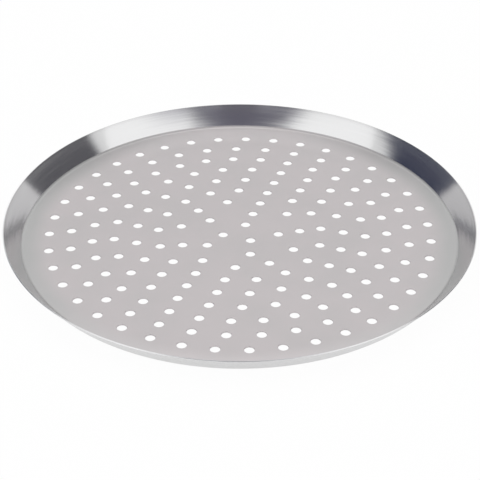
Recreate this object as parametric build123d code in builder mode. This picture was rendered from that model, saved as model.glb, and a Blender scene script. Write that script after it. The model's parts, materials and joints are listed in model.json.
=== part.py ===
from build123d import *

import os
from math import cos, radians, sin, tan

# Perforated pizza pan
# One round sheet of aluminium, pressed to a flat floor with a straight flared wall
# and punched with rings of vent holes that let the crust crisp.
# The frame stands on the underside: origin at the centre of the floor's lower face, +Z up.
# All lengths are millimetres and all angles are degrees.

# Sheet and outline
rim_diameter = 304.8
pan_height = 14.3
sheet_thickness = 0.8
wall_angle = 51.2
bend_radius = 2.5

# Vent holes, with the counts given from the innermost ring outwards
# Each small hole is a polygon whose flats lie within a tenth of a millimetre of the round punch
hole_diameter = 6.2
hole_sides = 12
first_ring_radius = 11.0
plain_border = 15.4
holes_per_ring = (3, 5, 11, 17, 21, 25, 31, 33, 39)
start_line_angle = 69.5

# The lip is cut square to the sheet, so its two corners lie one thickness apart across the wall
rim_radius = rim_diameter / 2
lean = radians(wall_angle)
lip_outer = (rim_radius, pan_height - sheet_thickness * cos(lean))
lip_inner = (rim_radius - sheet_thickness * sin(lean), pan_height)

# The wall's inner line meets the floor at the foot, and the bend sets back from there
foot_radius = lip_inner[0] - (pan_height - sheet_thickness) / tan(lean)
flat_floor_radius = foot_radius - bend_radius * tan(lean / 2)

# The outer ring keeps a plain border inside the flat floor, and the rings are evenly spaced
outer_ring_radius = flat_floor_radius - plain_border
ring_pitch = (outer_ring_radius - first_ring_radius) / (len(holes_per_ring) - 1)

os.makedirs("parts", exist_ok=True)

with BuildPart() as perforated_pan:
    # Section of the sheet from the axis to the lip, with both faces bent about one centre
    with BuildSketch(Plane.XZ):
        with BuildLine():
            floor_top = Line((0, sheet_thickness), (flat_floor_radius, sheet_thickness))
            floor_under = Line((0, 0), (flat_floor_radius, 0))
            bend_inside = JernArc(floor_top @ 1, floor_top % 1, bend_radius, wall_angle)
            bend_outside = JernArc(
                floor_under @ 1, floor_under % 1, bend_radius + sheet_thickness, wall_angle
            )
            Line(bend_inside @ 1, lip_inner)
            Line(bend_outside @ 1, lip_outer)
            Line(lip_inner, lip_outer)
            Line(floor_top @ 0, floor_under @ 0)
        make_face()
    revolve(axis=Axis.Z)

    # Concentric rings of holes, all starting on one radial line, punched up through the floor
    with BuildSketch():
        for ring, hole_count in enumerate(holes_per_ring):
            ring_radius = first_ring_radius + ring * ring_pitch
            with PolarLocations(ring_radius, hole_count, start_angle=start_line_angle):
                RegularPolygon(hole_diameter / 2, hole_sides)
    extrude(amount=pan_height, mode=Mode.SUBTRACT)

perforated_pan.part.label = "perforated_pan"
export_step(perforated_pan.part, "parts/perforated_pan.step")
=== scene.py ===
import json
from math import cos, degrees, radians, sin, tan, tau

import bmesh
import bpy
from bpy.props import FloatProperty, FloatVectorProperty, IntProperty, IntVectorProperty
from bpy.props import PointerProperty
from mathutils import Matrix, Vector

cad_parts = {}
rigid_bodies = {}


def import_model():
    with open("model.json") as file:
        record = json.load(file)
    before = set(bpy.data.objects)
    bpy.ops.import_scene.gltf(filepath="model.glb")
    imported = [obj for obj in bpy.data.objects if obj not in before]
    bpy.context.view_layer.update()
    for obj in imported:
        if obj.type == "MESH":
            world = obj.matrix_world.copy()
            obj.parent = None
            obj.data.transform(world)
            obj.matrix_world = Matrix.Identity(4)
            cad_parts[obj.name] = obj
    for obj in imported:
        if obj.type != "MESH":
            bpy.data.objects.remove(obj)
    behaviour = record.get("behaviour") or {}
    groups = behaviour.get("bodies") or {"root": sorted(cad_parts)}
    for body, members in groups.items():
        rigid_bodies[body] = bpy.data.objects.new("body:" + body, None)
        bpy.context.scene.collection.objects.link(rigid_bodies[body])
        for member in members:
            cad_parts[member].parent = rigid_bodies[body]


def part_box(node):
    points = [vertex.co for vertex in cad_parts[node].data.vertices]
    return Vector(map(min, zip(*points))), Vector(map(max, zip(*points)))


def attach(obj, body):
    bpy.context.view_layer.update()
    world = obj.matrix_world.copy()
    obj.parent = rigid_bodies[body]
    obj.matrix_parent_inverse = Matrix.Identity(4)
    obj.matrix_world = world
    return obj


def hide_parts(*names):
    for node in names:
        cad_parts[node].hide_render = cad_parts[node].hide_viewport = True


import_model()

bl_info = {
    "name": "Perforated pizza pan",
    "version": (1, 0, 0),
    "blender": (4, 5, 0),
    "location": "View3D > Sidebar > Pizza Pan",
    "description": "Models a perforated pizza pan in satin aluminium, and a studio to show it",
    "category": "Add Mesh",
}

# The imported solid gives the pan's outside sizes, and the pan made here stands in its place
PAN_NODE = "perforated_pan"
PAN_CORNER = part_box(PAN_NODE)[1]
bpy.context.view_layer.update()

# Lengths are in metres, and the small ones are written in millimetres
MM = 0.001
QUARTER_TURN = tau / 4
HALF_TURN_DEGREES = 180.0

# Vent holes in each ring, innermost first
HOLES_PER_RING = (3, 5, 11, 17, 21, 25, 31, 33, 39)

# Straight steps in each rounded or bowed stretch of a section
BEND_STEPS = 8
WALL_STEPS = 8
LIP_CORNER_STEPS = 4
HOLE_ROLL_STEPS = 4
HOLE_BREAK_STEPS = 2

# Heights nearer than this count as the same, and edges that turn by less are shaded smooth
SAME_HEIGHT = 0.01 * MM
SMOOTH_ANGLE = radians(40)

# Settings of the noise textures and the bumps. The waves up the wall have less detail
NOISE_MIDDLE = 0.5
NOISE_ROUGHNESS = 0.6
NOISE_DETAIL = 3.0
WAVE_DETAIL = 1.0
BUMP_FILTER = 0.1

# How much each variation of the satin floor shows, as a share of its colour or as roughness.
# The first value of a pair holds towards the front and the back, and the second one sideways.
# The grain and the drift are the metal's own. The rest is painted light and shade: a cool shade
# and light at the border, shade and light in the crease, light and shade at the back, and shade
# in the corners beside the wall's dark reflections.
GRAIN_IN_COLOUR = 0.06
GRAIN_IN_ROUGHNESS = 0.08
DRIFT_IN_COLOUR = 0.25
BORDER_PAINTED_COOL_SHADE = (0.1, 1.0)
BORDER_PAINTED_LIGHT = (0.15, 0.01)
CREASE_PAINTED_SHADE_AND_LIGHT = (-0.14, 0.28)
CREASE_ROUGHER = 0.15
CORNERS_PAINTED_SHADE = 0.135
BACK_PAINTED_LIGHT = 0.1
BACK_CREASE_PAINTED_SHADE = 0.2

# Where those variations start and where they are complete: the drift over its own noise, the
# back and the corners over the direction from the axis, with 1 straight backwards and 0
# sideways, and two rings of the floor over the distance in from its edge
DRIFT_FADE = (-0.15, 0.2)
BACK_FADE = (0.66, 1.0)
CORNERS_FADE = (0.0, 0.8)
CORNERS_WIDTH = 16.5 * MM
BACK_RING_FADE = (1.5 * CORNERS_WIDTH, 0.75 * CORNERS_WIDTH)

# The crease starts at this share of the bend, and the power keeps the painted light on its sides
# narrow
CREASE_START = 0.25
CREASE_SIDES_POWER = 4

# How much each variation of the turned wall shows, and how many cells of their noise the lines
# and the waves cross for each radian round the pan
LINES_IN_COLOUR = 0.1
LINES_IN_ROUGHNESS = 0.1
LINES_ROUND_THE_PAN = 3
WAVES_ROUND_THE_PAN = 2
UPPER_BAND_DARKER = 0.08
LIP_ROUGHER = 0.15

# The fine lines blur what the wall mirrors up and down, and hardly round the pan
WALL_BLUR = 0.9
BLUR_TURN = 0.25

# Where the wall's finishes start and where they are complete: the upper band up the wall from
# the lip, the lip in its own roundings, the sheet's outer half in sheets from its outer face,
# and the turned finish in sheets past the bend
UPPER_BAND_FADE = (-2.4 * MM, -0.6 * MM)
LIP_FADE = (-1.3, -0.3)
OUTER_HALF_FADE = (-0.75, -0.5)
TURNED_FADE = (-0.1, 0.6)

# Photograph's frame, for turning its focal length in pixels into a lens
FRAME_PIXELS = 480
SENSOR_WIDTH = 36.0

# The camera stands on the -Y side, and the pan's middle lies a little above its frame's middle
CAMERA_AZIMUTH = 270
CAMERA_SHIFT = (0.00047, -0.0128)
NEAREST_SEEN = 0.01

# The floor, the dome of surroundings and the two lamps
FLOOR_RADIUS = 4.0
FLOOR_SIDES = 96
FLOOR_BELOW_PAN = 0.05 * MM
SURROUNDINGS_RADIUS = 1.3
SURROUNDINGS_SEGMENTS = 96
SURROUNDINGS_RINGS = 48
LAMP_DISTANCE = 1.6
LAMP_SIZE = (1.1, 0.7)
LAMP_ELEVATION = 42
LAMP_AZIMUTHS = {"left_lamp": 212, "right_lamp": 328}


class PanSizes(bpy.types.PropertyGroup):
    """Sizes of the pan, as it is pressed and punched."""

    rim_diameter: FloatProperty(
        name="Rim diameter", description="Outside diameter at the lip",
        default=2 * PAN_CORNER.x, unit="LENGTH"
    )
    pan_height: FloatProperty(
        name="Height", description="From the underside to the top of the lip",
        default=PAN_CORNER.z, unit="LENGTH"
    )
    sheet_thickness: FloatProperty(
        name="Sheet", description="Thickness of the aluminium", default=0.8 * MM, unit="LENGTH"
    )
    wall_angle: FloatProperty(
        name="Wall angle", description="Rise of the wall from the floor",
        default=radians(51.2), subtype="ANGLE"
    )
    bend_radius: FloatProperty(
        name="Bend", description="Inside radius between floor and wall",
        default=2.5 * MM, unit="LENGTH"
    )
    wall_bow: FloatProperty(
        name="Wall bow", description="How far the middle of the wall stands in from straight",
        default=0.2 * MM, unit="LENGTH"
    )
    lip_rounding: FloatProperty(
        name="Lip rounding", description="Radius that softens the cut lip",
        default=0.2 * MM, unit="LENGTH"
    )
    hole_diameter: FloatProperty(
        name="Hole diameter", description="Width of each vent hole",
        default=6.2 * MM, unit="LENGTH"
    )
    hole_rounding: FloatProperty(
        name="Hole rounding", description="Roll of the sheet into each hole",
        default=0.3 * MM, unit="LENGTH"
    )
    hole_break: FloatProperty(
        name="Hole break", description="Softened edge under each hole",
        default=0.08 * MM, unit="LENGTH"
    )
    first_ring_radius: FloatProperty(
        name="First ring", description="Radius of the innermost ring of holes",
        default=11.0 * MM, unit="LENGTH"
    )
    plain_border: FloatProperty(
        name="Plain border", description="From the outer ring to the flat floor's edge",
        default=15.4 * MM, unit="LENGTH"
    )
    start_line_angle: FloatProperty(
        name="Start line", description="Radial line on which every ring starts",
        default=radians(69.5), subtype="ANGLE"
    )
    holes_per_ring: IntVectorProperty(
        name="Holes per ring", description="Vent holes in each ring, innermost first",
        size=len(HOLES_PER_RING), default=HOLES_PER_RING
    )
    round_steps: IntProperty(
        name="Round steps", description="Sides of the turned forms", default=288
    )
    hole_steps: IntProperty(
        name="Hole steps", description="Sides of each vent hole", default=32
    )


class PanFinish(bpy.types.PropertyGroup):
    """Colours and textures of the bare aluminium."""

    floor_colour: FloatVectorProperty(
        name="Floor", description="Satin floor, where it looks warm",
        subtype="COLOR", size=3, default=(0.590, 0.557, 0.564)
    )
    # The cool colour is also the painted cool shade at the floor's border
    cool_colour: FloatVectorProperty(
        name="Cool cast", description="Cooler drift of the satin finish",
        subtype="COLOR", size=3, default=(0.498, 0.498, 0.496)
    )
    lip_colour: FloatVectorProperty(
        name="Lip", description="Freshly cut edge of the lip",
        subtype="COLOR", size=3, default=(0.80, 0.80, 0.803)
    )
    wall_colour: FloatVectorProperty(
        name="Wall", description="Brighter turned wall",
        subtype="COLOR", size=3, default=(0.66, 0.66, 0.663)
    )
    floor_roughness: FloatProperty(
        name="Floor roughness", description="Softness of the floor's reflections",
        default=0.42, min=0, max=1
    )
    wall_roughness: FloatProperty(
        name="Wall roughness", description="Softness of the wall's reflections",
        default=0.15, min=0, max=1
    )
    line_spacing: FloatProperty(
        name="Turned lines", description="Usual distance between turned lines",
        default=0.5 * MM, unit="LENGTH"
    )
    line_depth: FloatProperty(
        name="Line depth", description="Depth of the turned lines",
        default=0.004 * MM, unit="LENGTH"
    )
    wave_spacing: FloatProperty(
        name="Wall waves", description="Usual distance between shallow waves up the wall",
        default=3.0 * MM, unit="LENGTH"
    )
    wave_depth: FloatProperty(
        name="Wave depth", description="Depth of those waves", default=0.05 * MM, unit="LENGTH"
    )
    grain_size: FloatProperty(
        name="Grain", description="Size of the satin floor's grain",
        default=0.35 * MM, unit="LENGTH"
    )
    grain_depth: FloatProperty(
        name="Grain depth", description="Depth of the satin grain",
        default=0.004 * MM, unit="LENGTH"
    )
    drift_size: FloatProperty(
        name="Drift", description="Size of the patches where the satin looks cooler",
        default=45 * MM, unit="LENGTH"
    )


class StudioSettings(bpy.types.PropertyGroup):
    """Camera, floor and light."""

    camera_distance: FloatProperty(
        name="Camera distance", description="From the middle of the pan",
        default=0.9571, unit="LENGTH"
    )
    camera_elevation: FloatProperty(
        name="Camera elevation", description="Above the floor",
        default=radians(33.29), subtype="ANGLE"
    )
    focal_pixels: FloatProperty(
        name="Focal length", description="In pixels of the photograph",
        default=1464.4, subtype="PIXEL"
    )
    backdrop_colour: FloatVectorProperty(
        name="Backdrop", description="White of the backdrop and the floor",
        subtype="COLOR", size=3, default=(1.0, 1.0, 1.0)
    )
    floor_white: FloatProperty(
        name="Floor white", description="Share of the floor that stays white in shadow",
        default=0.96, min=0, max=1
    )
    floor_mirrored: FloatProperty(
        name="Floor in reflections",
        description="The same share, where metal or glass shows the floor",
        default=0.7, min=0, max=1
    )
    room_light: FloatProperty(
        name="Room light", description="Strength of the white room on matt surfaces",
        default=1.1, min=0
    )
    lamp_power: FloatProperty(
        name="Lamp power", description="Power of each soft lamp",
        default=0.72, subtype="POWER", unit="POWER"
    )


def arc_points(centre, radius, start, sweep, steps):
    """Points of an arc in a section, as radius and height, from the start angle by the sweep."""
    angles = [start + sweep * step / steps for step in range(steps + 1)]
    return [
        (centre[0] + radius * cos(angle), centre[1] + radius * sin(angle)) for angle in angles
    ]


def bowed_points(start, end, middle_shift, steps):
    """Points between the ends of a nearly straight stretch, which a parabola shifts aside."""
    start, end = Vector(start), Vector(end)
    shares = [step / steps for step in range(1, steps)]
    return [start.lerp(end, share) + 4 * share * (1 - share) * middle_shift for share in shares]


def flat_floor_radius(sizes):
    """Radius at which the floor starts to bend up into the wall."""
    lip_radius = sizes.rim_diameter / 2 - sizes.sheet_thickness * sin(sizes.wall_angle)
    rise = sizes.pan_height - sizes.sheet_thickness
    foot_radius = lip_radius - rise / tan(sizes.wall_angle)
    return foot_radius - sizes.bend_radius * tan(sizes.wall_angle / 2)


def wall_directions(sizes):
    """Unit vectors up the wall and outwards through the sheet, as radius and height."""
    up_the_wall = Vector((cos(sizes.wall_angle), sin(sizes.wall_angle)))
    return up_the_wall, Vector((up_the_wall.y, -up_the_wall.x))


def outer_lip_corner(sizes):
    """Corner of the cut lip on the wall's outer face, as radius and height."""
    height = sizes.pan_height - sizes.sheet_thickness * cos(sizes.wall_angle)
    return Vector((sizes.rim_diameter / 2, height))


def wall_section(sizes):
    """Outline of the wall from the floor's upper edge, over the lip and back to its lower edge."""
    angle, sheet, rounding = sizes.wall_angle, sizes.sheet_thickness, sizes.lip_rounding
    bend = sizes.bend_radius
    up_the_wall, through_the_sheet = wall_directions(sizes)
    outer_corner = outer_lip_corner(sizes)
    inner_corner = outer_corner - sheet * through_the_sheet
    bend_centre = (flat_floor_radius(sizes), sheet + bend)
    inner_centre = inner_corner + rounding * (through_the_sheet - up_the_wall)
    outer_centre = outer_corner - rounding * (through_the_sheet + up_the_wall)

    inner_bend = arc_points(bend_centre, bend, -QUARTER_TURN, angle, BEND_STEPS)
    lip = [
        *arc_points(inner_centre, rounding, angle + QUARTER_TURN, -QUARTER_TURN, LIP_CORNER_STEPS),
        *arc_points(outer_centre, rounding, angle, -QUARTER_TURN, LIP_CORNER_STEPS),
    ]
    outer_bend = arc_points(bend_centre, bend + sheet, angle - QUARTER_TURN, -angle, BEND_STEPS)
    inwards = -sizes.wall_bow * through_the_sheet
    inner_wall = bowed_points(inner_bend[-1], lip[0], inwards, WALL_STEPS)
    outer_wall = bowed_points(lip[-1], outer_bend[0], inwards, WALL_STEPS)
    return [*inner_bend, *inner_wall, *lip, *outer_wall, *outer_bend]


def hole_section(sizes):
    """Outline of a vent hole from the floor's upper face, over the rolled edge to the underside."""
    radius, roll, edge = sizes.hole_diameter / 2, sizes.hole_rounding, sizes.hole_break
    roll_centre = (radius + roll, sizes.sheet_thickness - roll)
    edge_centre = (radius + edge, edge)
    return [
        *arc_points(roll_centre, roll, QUARTER_TURN, QUARTER_TURN, HOLE_ROLL_STEPS),
        *arc_points(edge_centre, edge, 2 * QUARTER_TURN, QUARTER_TURN, HOLE_BREAK_STEPS),
    ]


def turn_ring(section, steps, centre=(0, 0)):
    """Adds a ring of edges at a section's first point and extrudes it through the rest, about Z."""
    bpy.ops.mesh.select_all(action="DESELECT")
    radius, height = section[0]
    bpy.ops.mesh.primitive_circle_add(vertices=steps, radius=radius, location=(*centre, height))
    for next_radius, next_height in section[1:]:
        rise = (0, 0, next_height - height)
        bpy.ops.mesh.extrude_edges_move(TRANSFORM_OT_translate={"value": rise})
        widening = next_radius / radius
        bpy.ops.transform.resize(value=(widening, widening, 1), center_override=(*centre, 0))
        radius, height = next_radius, next_height


def punch_rings(sizes):
    """Makes one vent hole on the start line for each ring and spins copies of it round the pan."""
    outer_ring_radius = flat_floor_radius(sizes) - sizes.plain_border
    pitch = (outer_ring_radius - sizes.first_ring_radius) / (len(sizes.holes_per_ring) - 1)
    for ring, hole_count in enumerate(sizes.holes_per_ring):
        radius = sizes.first_ring_radius + ring * pitch
        centre = (radius * cos(sizes.start_line_angle), radius * sin(sizes.start_line_angle))
        turn_ring(hole_section(sizes), sizes.hole_steps, centre)
        bpy.ops.mesh.select_linked()
        copies = hole_count - 1
        bpy.ops.mesh.spin(
            steps=copies, dupli=True, angle=tau * copies / hole_count, center=(0, 0, 0),
            axis=(0, 0, 1)
        )


def fill_floor_face(piece, height):
    """Fills the flat face at a height between the wall's ring and the rims of the holes."""
    mesh = bmesh.from_edit_mesh(piece.data)
    bpy.ops.mesh.select_all(action="DESELECT")
    for edge in mesh.edges:
        if edge.is_boundary and all(abs(end.co.z - height) < SAME_HEIGHT for end in edge.verts):
            edge.select = True
    mesh.select_flush_mode()
    bmesh.update_edit_mesh(piece.data)
    bpy.ops.mesh.fill(use_beauty=True)


def model_pan_sheet(sizes):
    """One sheet: the flared wall, the holes and the two faces of the floor between them."""
    # A circle without its vertices is an empty mesh in edit mode, which takes the rings
    bpy.ops.object.select_all(action="DESELECT")
    bpy.ops.mesh.primitive_circle_add(vertices=sizes.hole_steps, enter_editmode=True)
    bpy.ops.mesh.delete(type="VERT")
    piece = bpy.context.object
    piece.name = piece.data.name = "pan_sheet"
    bpy.context.tool_settings.mesh_select_mode = (False, True, False)

    turn_ring(wall_section(sizes), sizes.round_steps)
    punch_rings(sizes)
    fill_floor_face(piece, sizes.sheet_thickness)
    fill_floor_face(piece, 0)
    bpy.ops.mesh.select_all(action="SELECT")
    bpy.ops.mesh.normals_make_consistent(inside=False)
    bpy.ops.object.mode_set(mode="OBJECT")

    bpy.ops.object.shade_smooth_by_angle(angle=SMOOTH_ANGLE)
    piece.modifiers.new("Flat floor shading", "WEIGHTED_NORMAL").keep_sharp = True
    bpy.ops.object.modifier_apply(modifier="Flat floor shading")
    return piece


class Field:
    """A shader socket that Python arithmetic continues, adding a Math node for each sign."""

    def __init__(self, shader, socket):
        self.shader, self.socket = shader, socket

    def __add__(self, other):
        return self.shader.math("ADD", self, other)

    def __sub__(self, other):
        return self.shader.math("SUBTRACT", self, other)

    def __rsub__(self, other):
        return self.shader.math("SUBTRACT", other, self)

    def __mul__(self, other):
        return self.shader.math("MULTIPLY", self, other)

    def __truediv__(self, other):
        return self.shader.math("DIVIDE", self, other)

    def __rtruediv__(self, other):
        return self.shader.math("DIVIDE", other, self)

    __radd__ = __add__
    __rmul__ = __mul__


class Shader:
    """Adds nodes to the tree of a material or of the world."""

    # A Mix node has sockets for numbers and vectors before the ones for colours
    MIX_COLOUR_A = 6
    MIX_COLOUR_B = 7
    MIX_COLOUR_RESULT = 2

    def __init__(self, owner):
        owner.use_nodes = True
        self.tree = owner.node_tree
        self.tree.nodes.clear()

    def node(self, kind, settings=None, inputs=None, output=0):
        """One node: its settings, then its inputs. A tuple of outputs gives a list of fields."""
        made = self.tree.nodes.new(kind)
        for name, value in (settings or {}).items():
            setattr(made, name, value)
        for name, value in (inputs or {}).items():
            if isinstance(value, Field):
                self.tree.links.new(value.socket, made.inputs[name])
            else:
                made.inputs[name].default_value = value
        if isinstance(output, tuple):
            return [Field(self, made.outputs[name]) for name in output]
        return Field(self, made.outputs[output]) if made.outputs else None

    def math(self, operation, *values):
        """The result of an operation on one to three values."""
        return self.node("ShaderNodeMath", {"operation": operation}, dict(enumerate(values)))

    def place(self):
        """Position in the object's own space."""
        return self.node("ShaderNodeTexCoord", output="Object")

    def coordinates(self, place):
        """The three numbers of a place."""
        return self.node("ShaderNodeSeparateXYZ", None, {0: place}, output=("X", "Y", "Z"))

    def vector(self, x, y, z=0.0):
        """A vector of three numbers."""
        return self.node("ShaderNodeCombineXYZ", None, {0: x, 1: y, 2: z})

    def length(self, vector):
        """How long a vector is."""
        settings = {"operation": "LENGTH"}
        return self.node("ShaderNodeVectorMath", settings, {0: vector}, output="Value")

    def mixed_colour(self, low, high, share):
        """The low colour, going over to the high one as the share rises from 0 to 1."""
        inputs = {0: share, self.MIX_COLOUR_A: low, self.MIX_COLOUR_B: high}
        return self.node("ShaderNodeMix", {"data_type": "RGBA"}, inputs, self.MIX_COLOUR_RESULT)

    def mixed_shader(self, low, high, share):
        """The low surface, going over to the high one as the share rises from 0 to 1."""
        return self.node("ShaderNodeMixShader", None, {0: share, 1: low, 2: high})

    def step(self, value, low, high):
        """0 below the low value, 1 above the high one, and smooth between them."""
        inputs = {"Value": value, "From Min": low, "From Max": high}
        return self.node("ShaderNodeMapRange", {"interpolation_type": "SMOOTHSTEP"}, inputs)

    def noise(self, place, scale, detail):
        """Noise about 0, with the scale as cells for each unit of the place."""
        inputs = {"Vector": place, "Scale": scale, "Detail": detail, "Roughness": NOISE_ROUGHNESS}
        return self.node("ShaderNodeTexNoise", None, inputs) - NOISE_MIDDLE

    def shaded(self, colour, share):
        """The colour times a grey share."""
        inputs = {0: colour, 1: self.vector(share, share, share)}
        return self.node("ShaderNodeVectorMath", {"operation": "MULTIPLY"}, inputs)

    def bump(self, height):
        """Normals that lean as if the surface stood out by the height, in metres."""
        inputs = {"Distance": 1.0, "Filter Width": BUMP_FILTER, "Height": height}
        return self.node("ShaderNodeBump", None, inputs)

    def metal(self, inputs):
        """A metal surface with these inputs."""
        return self.node("ShaderNodeBsdfPrincipled", None, {"Metallic": 1.0, **inputs})

    def finish(self, surface):
        """Gives the material its surface."""
        self.node("ShaderNodeOutputMaterial", None, {"Surface": surface})


class PanSpot:
    """Where a point of the pan's surface lies, for the finishes to read.

    Rightwards and backwards are the parts along +X and +Y of the unit vector that points to it
    from the axis. Sideways is 1 towards both sides, and 0 towards the front and the back.
    """

    def __init__(self, shader, sizes):
        self.place = shader.place()
        x, y, self.height = shader.coordinates(self.place)
        self.radius = shader.length(shader.vector(x, y))
        self.rightwards, self.backwards = x / self.radius, y / self.radius
        self.sideways = self.rightwards * self.rightwards
        self.floor_edge = flat_floor_radius(sizes)
        self.bend_end = self.floor_edge + sizes.bend_radius * sin(sizes.wall_angle)


def rgba(colour):
    """A colour as a colour socket takes it."""
    return (*colour, 1)


def scaled(fade, size):
    """The two ends of a fade that are given in shares of a size."""
    return [share * size for share in fade]


def between(pair, share):
    """The first value of a pair, going over to the second one as the share rises from 0 to 1."""
    first, second = pair
    return first + share * (second - first)


def satin_floor(shader, spot, sizes, finish):
    """Finely grained satin with a warm and cool drift, and painted light and shade near the wall.
    """
    grain = shader.noise(spot.place, 1 / finish.grain_size, NOISE_DETAIL)
    drift = shader.step(shader.noise(spot.place, 1 / finish.drift_size, NOISE_DETAIL), *DRIFT_FADE)
    border = shader.step(spot.radius, spot.floor_edge - sizes.plain_border, spot.floor_edge)
    crease_start = spot.floor_edge + CREASE_START * (spot.bend_end - spot.floor_edge)
    crease = shader.step(spot.radius, crease_start, spot.bend_end)
    crease_sides = shader.math("POWER", spot.sideways, CREASE_SIDES_POWER)

    back = shader.step(spot.backwards, *BACK_FADE)
    back_ring = shader.step(spot.radius, *[spot.floor_edge - inset for inset in BACK_RING_FADE])
    corner_ring = shader.step(spot.radius, spot.floor_edge - CORNERS_WIDTH, spot.floor_edge)
    corners = shader.step(spot.backwards, *CORNERS_FADE) * (1 - back) * corner_ring

    # Painted cool shade at the border, added to the metal's own cool drift
    cooler = border * between(BORDER_PAINTED_COOL_SHADE, spot.sideways) + drift * DRIFT_IN_COLOUR
    satin = shader.mixed_colour(rgba(finish.floor_colour), rgba(finish.cool_colour), cooler)
    # Painted light and shade at the border, the crease, the back and the corners, on the real grain
    lighter = (
        grain * GRAIN_IN_COLOUR
        + border * between(BORDER_PAINTED_LIGHT, spot.sideways)
        + crease * between(CREASE_PAINTED_SHADE_AND_LIGHT, crease_sides)
        + back * (back_ring * BACK_PAINTED_LIGHT - crease * BACK_CREASE_PAINTED_SHADE)
        - corners * CORNERS_PAINTED_SHADE
    )
    return shader.metal({
        "Base Color": shader.shaded(satin, 1 + lighter),
        "Roughness": finish.floor_roughness + grain * GRAIN_IN_ROUGHNESS + crease * CREASE_ROUGHER,
        "Normal": shader.bump(grain * finish.grain_depth),
    })


def turned_lines(shader, spot, up_the_wall, spacing, round_the_pan, detail):
    """Noise about 0 that changes over the spacing up the wall, and slowly round it."""
    rightwards, backwards = spot.rightwards * round_the_pan, spot.backwards * round_the_pan
    return shader.noise(shader.vector(rightwards, backwards, up_the_wall / spacing), 1.0, detail)


def turned_wall(shader, spot, sizes, finish):
    """Brighter metal with lines turned round it, and a freshly cut lip above a darker band."""
    up, outwards = wall_directions(sizes)
    corner = outer_lip_corner(sizes)
    above_lip = spot.radius * up.x + spot.height * up.y - up.dot(corner)
    outside = spot.radius * outwards.x + spot.height * outwards.y - outwards.dot(corner)
    lip = shader.step(above_lip, *scaled(LIP_FADE, sizes.lip_rounding))
    inner_half = 1 - shader.step(outside, *scaled(OUTER_HALF_FADE, sizes.sheet_thickness))
    upper_band = shader.step(above_lip, *UPPER_BAND_FADE) * inner_half
    lines = turned_lines(
        shader, spot, above_lip, finish.line_spacing, LINES_ROUND_THE_PAN, NOISE_DETAIL
    )
    waves = turned_lines(
        shader, spot, above_lip, finish.wave_spacing, WAVES_ROUND_THE_PAN, WAVE_DETAIL
    )

    turned = shader.mixed_colour(rgba(finish.wall_colour), rgba(finish.lip_colour), lip)
    lighter = lines * LINES_IN_COLOUR - upper_band * UPPER_BAND_DARKER
    return shader.metal({
        "Base Color": shader.shaded(turned, 1 + lighter),
        "Roughness": finish.wall_roughness + lines * LINES_IN_ROUGHNESS + lip * LIP_ROUGHER,
        "Anisotropic": WALL_BLUR,
        "Anisotropic Rotation": BLUR_TURN,
        "Normal": shader.bump(lines * finish.line_depth + waves * finish.wave_depth),
    })


def satin_aluminium(sizes, finish):
    """Bare aluminium: satin over the floor and up the bend, and turned on the straight wall."""
    material = bpy.data.materials.new("satin_aluminium")
    shader = Shader(material)
    spot = PanSpot(shader, sizes)
    past_the_bend = spot.radius - spot.bend_end
    turned = shader.step(past_the_bend, *scaled(TURNED_FADE, sizes.sheet_thickness))
    floor_metal = satin_floor(shader, spot, sizes, finish)
    wall_metal = turned_wall(shader, spot, sizes, finish)
    shader.finish(shader.mixed_shader(floor_metal, wall_metal, turned))
    return material


class PIZZA_PAN_OT_pan_sheet(bpy.types.Operator):
    """Model the pan's one perforated sheet in satin aluminium"""

    bl_idname = "pizza_pan.pan_sheet"
    bl_label = "Pan Sheet"

    def execute(self, context):
        sizes, finish = context.scene.pan_sizes, context.scene.pan_finish
        piece = model_pan_sheet(sizes)
        piece.data.materials.append(satin_aluminium(sizes, finish))
        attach(piece, "root")
        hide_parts(PAN_NODE)
        return {"FINISHED"}


class Patch:
    """A soft patch of the surroundings, all in degrees. An edge is the two angles of its fade.

    The low and high azimuth edges hold at the foot, and lean by so many degrees of azimuth for
    each degree above it. The top holds at the middle azimuth, and rises by so many degrees for
    each degree past it.
    """

    def __init__(self, radiance, low, high, foot, top, lean=(0, 0), rise=0):
        self.radiance, self.low, self.high, self.foot, self.top = radiance, low, high, foot, top
        self.lean, self.rise = lean, rise

    def mask(self, shader, azimuth, elevation):
        """1 inside the patch and 0 outside it."""
        middle = (self.low[1] + self.high[0]) / 2
        around = shader.math("WRAP", azimuth - middle, HALF_TURN_DEGREES, -HALF_TURN_DEGREES)
        above_foot = elevation - self.foot[1]
        past_low = around - above_foot * self.lean[0]
        past_high = around - above_foot * self.lean[1]
        low, high = [[angle - middle for angle in edge] for edge in (self.low, self.high)]
        between_edges = shader.step(past_low, *low) * (1 - shader.step(past_high, *high))
        below_top = 1 - shader.step(elevation - around * self.rise, *self.top)
        return between_edges * shader.step(elevation, *self.foot) * below_top


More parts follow.
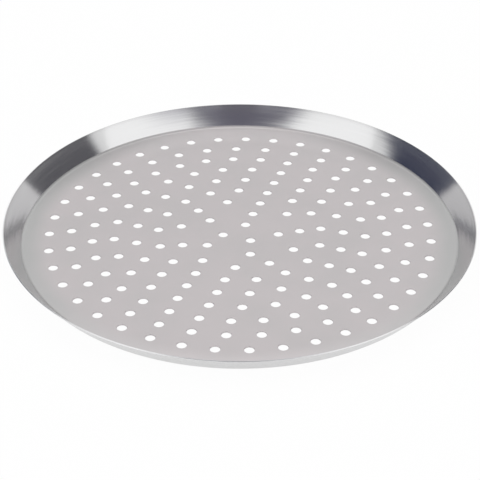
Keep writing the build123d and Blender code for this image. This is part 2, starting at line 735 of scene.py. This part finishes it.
# What the pan stands among: a grey band low down behind it, and dark gaps between the lamps.
# Azimuth 0 is along +X and azimuth 270 is towards the camera. Each patch lies over the ones
# before it.
PATCHES = {
    "low_back": Patch(
        (0.33, 0.32, 0.33), low=(70, 76), high=(104, 110), foot=(-2, -1), top=(14, 16)
    ),
    "low_left": Patch(
        (0.67, 0.66, 0.67), low=(97, 103), high=(153, 155), foot=(-2, -1), top=(19.5, 22)
    ),
    "low_right": Patch(
        (0.76, 0.75, 0.76), low=(25, 27.5), high=(77, 83), foot=(-2, -1), top=(19.5, 22)
    ),
    "left_gap": Patch(
        (0.05, 0.056, 0.096), low=(150.6, 155.4), high=(171, 178), foot=(-2, 0), top=(44, 48),
        lean=(-0.9, 0.1), rise=0.75
    ),
    "right_gap": Patch(
        (0.12, 0.118, 0.132), low=(-32, -25.2), high=(27, 30.6), foot=(-2, 0), top=(55, 59),
        lean=(0.8, 0.7), rise=-0.75
    ),
    "front_haze": Patch(
        (0.65, 0.64, 0.69), low=(300, 312), high=(318, 345), foot=(48, 56), top=(66, 70)
    ),
    "front_gap": Patch(
        (0.128, 0.122, 0.168), low=(248, 269.7), high=(269.9, 291.5), foot=(34, 38),
        top=(62.5, 66.5), lean=(-1.75, 1.4)
    ),
    "camera_gap": Patch(
        (0.19, 0.18, 0.20), low=(250, 258), high=(282, 290), foot=(58, 62), top=(74, 78)
    ),
}


def surroundings_material():
    """Clear, with the patches glowing at their own radiance."""
    material = bpy.data.materials.new("studio_surroundings")
    shader = Shader(material)
    x, y, z = shader.coordinates(shader.place())
    azimuth = shader.math("ARCTAN2", y, x) * degrees(1)
    elevation = shader.math("ARCTAN2", z, shader.length(shader.vector(x, y))) * degrees(1)
    surface = shader.node("ShaderNodeBsdfTransparent")
    for patch in PATCHES.values():
        glow = shader.node("ShaderNodeEmission", None, {"Color": rgba(patch.radiance)})
        surface = shader.mixed_shader(surface, glow, patch.mask(shader, azimuth, elevation))
    shader.finish(surface)
    return material


def add_surroundings():
    """A dome round the pan that shows only in reflections."""
    bpy.ops.mesh.primitive_uv_sphere_add(
        segments=SURROUNDINGS_SEGMENTS, ring_count=SURROUNDINGS_RINGS, radius=SURROUNDINGS_RADIUS
    )
    dome = bpy.context.object
    dome.name = "studio_surroundings"
    dome.visible_camera = False
    dome.data.materials.append(surroundings_material())


def seen_by(shader):
    """1 for rays from the camera, and 1 for those that a mirror or glass passes on."""
    names = ("Is Camera Ray", "Is Glossy Ray", "Is Transmission Ray")
    camera, glossy, transmission = shader.node("ShaderNodeLightPath", output=names)
    return camera, shader.math("MAXIMUM", glossy, transmission)


def white_floor(settings):
    """Pale floor that stays near white in shadow, and can be looked through from below."""
    material = bpy.data.materials.new("studio_floor")
    shader = Shader(material)
    white = rgba(settings.backdrop_colour)
    matt = shader.node("ShaderNodeBsdfDiffuse", None, {"Color": white})
    glow = shader.node("ShaderNodeEmission", None, {"Color": white})
    camera, mirrored = seen_by(shader)
    glowing = camera * settings.floor_white + mirrored * settings.floor_mirrored
    top = shader.mixed_shader(matt, glow, glowing)
    behind = shader.node("ShaderNodeNewGeometry", output="Backfacing")
    shader.finish(shader.mixed_shader(top, shader.node("ShaderNodeBsdfTransparent"), behind))
    return material


def add_floor(settings):
    """A wide flat floor just under the pan."""
    bpy.ops.mesh.primitive_circle_add(
        vertices=FLOOR_SIDES, radius=FLOOR_RADIUS, fill_type="NGON",
        location=(0, 0, -FLOOR_BELOW_PAN)
    )
    floor = bpy.context.object
    floor.name = "studio_floor"
    floor.data.materials.append(white_floor(settings))


def white_world(settings):
    """Even white all round, a little stronger where it lights matt surfaces."""
    world = bpy.data.worlds.new("studio_white")
    bpy.context.scene.world = world
    shader = Shader(world)
    camera, mirrored = seen_by(shader)
    strength = settings.room_light + (camera + mirrored) * (1 - settings.room_light)
    inputs = {"Color": rgba(settings.backdrop_colour), "Strength": strength}
    light = shader.node("ShaderNodeBackground", None, inputs)
    shader.node("ShaderNodeOutputWorld", None, {"Surface": light})


def direction(azimuth, elevation):
    """Unit vector towards an azimuth and an elevation in degrees, with azimuth 0 along +X."""
    azimuth, elevation = radians(azimuth), radians(elevation)
    flat = cos(elevation)
    return Vector((cos(azimuth) * flat, sin(azimuth) * flat, sin(elevation)))


def facing_the_pan(way):
    """Rotation of a lamp or a camera that stands this way from the pan and looks back at it."""
    return way.to_track_quat("Z", "Y").to_euler()


def add_lamp(name, way, power):
    """A soft lamp, wider than tall, that faces the pan."""
    bpy.ops.object.light_add(type="AREA", location=way * LAMP_DISTANCE)
    lamp = bpy.context.object
    lamp.name = name
    lamp.rotation_euler = facing_the_pan(way)
    lamp.data.shape = "RECTANGLE"
    lamp.data.size, lamp.data.size_y = LAMP_SIZE
    lamp.data.energy = power
    lamp.visible_camera = False


def add_camera(settings):
    """Camera at the photograph's viewing angle."""
    way = direction(CAMERA_AZIMUTH, degrees(settings.camera_elevation))
    bpy.ops.object.camera_add(location=way * settings.camera_distance)
    camera = bpy.context.object
    camera.rotation_euler = facing_the_pan(way)
    camera.data.sensor_width = SENSOR_WIDTH
    camera.data.lens = settings.focal_pixels / FRAME_PIXELS * SENSOR_WIDTH
    camera.data.shift_x, camera.data.shift_y = CAMERA_SHIFT
    camera.data.clip_start = NEAREST_SEEN
    bpy.context.scene.camera = camera


class PIZZA_PAN_OT_studio(bpy.types.Operator):
    """Set up the pale floor, the soft light, the surroundings and the camera"""

    bl_idname = "pizza_pan.studio"
    bl_label = "Studio"

    def execute(self, context):
        settings = context.scene.pan_studio
        white_world(settings)
        add_floor(settings)
        add_surroundings()
        for name, azimuth in LAMP_AZIMUTHS.items():
            add_lamp(name, direction(azimuth, LAMP_ELEVATION), settings.lamp_power)
        add_camera(settings)
        context.scene.view_settings.view_transform = "Standard"
        return {"FINISHED"}


class PIZZA_PAN_PT_sidebar(bpy.types.Panel):
    """The steps that make the pan and its studio"""

    bl_idname = "PIZZA_PAN_PT_sidebar"
    bl_label = "Pizza Pan"
    bl_space_type = "VIEW_3D"
    bl_region_type = "UI"
    bl_category = "Pizza Pan"

    def draw(self, context):
        for step in (PIZZA_PAN_OT_pan_sheet, PIZZA_PAN_OT_studio):
            self.layout.operator(step.bl_idname)


CLASSES = (
    PanSizes,
    PanFinish,
    StudioSettings,
    PIZZA_PAN_OT_pan_sheet,
    PIZZA_PAN_OT_studio,
    PIZZA_PAN_PT_sidebar,
)


def register():
    """Makes the settings, the operators and the panel known to Blender."""
    for made in CLASSES:
        bpy.utils.register_class(made)
    bpy.types.Scene.pan_sizes = PointerProperty(type=PanSizes)
    bpy.types.Scene.pan_finish = PointerProperty(type=PanFinish)
    bpy.types.Scene.pan_studio = PointerProperty(type=StudioSettings)


def unregister():
    """Takes back all that register makes known."""
    del bpy.types.Scene.pan_studio
    del bpy.types.Scene.pan_finish
    del bpy.types.Scene.pan_sizes
    for made in reversed(CLASSES):
        bpy.utils.unregister_class(made)


def main():
    """Makes the pan and its studio."""
    register()
    bpy.ops.pizza_pan.pan_sheet()
    bpy.ops.pizza_pan.studio()


if __name__ == "__main__":
    main()
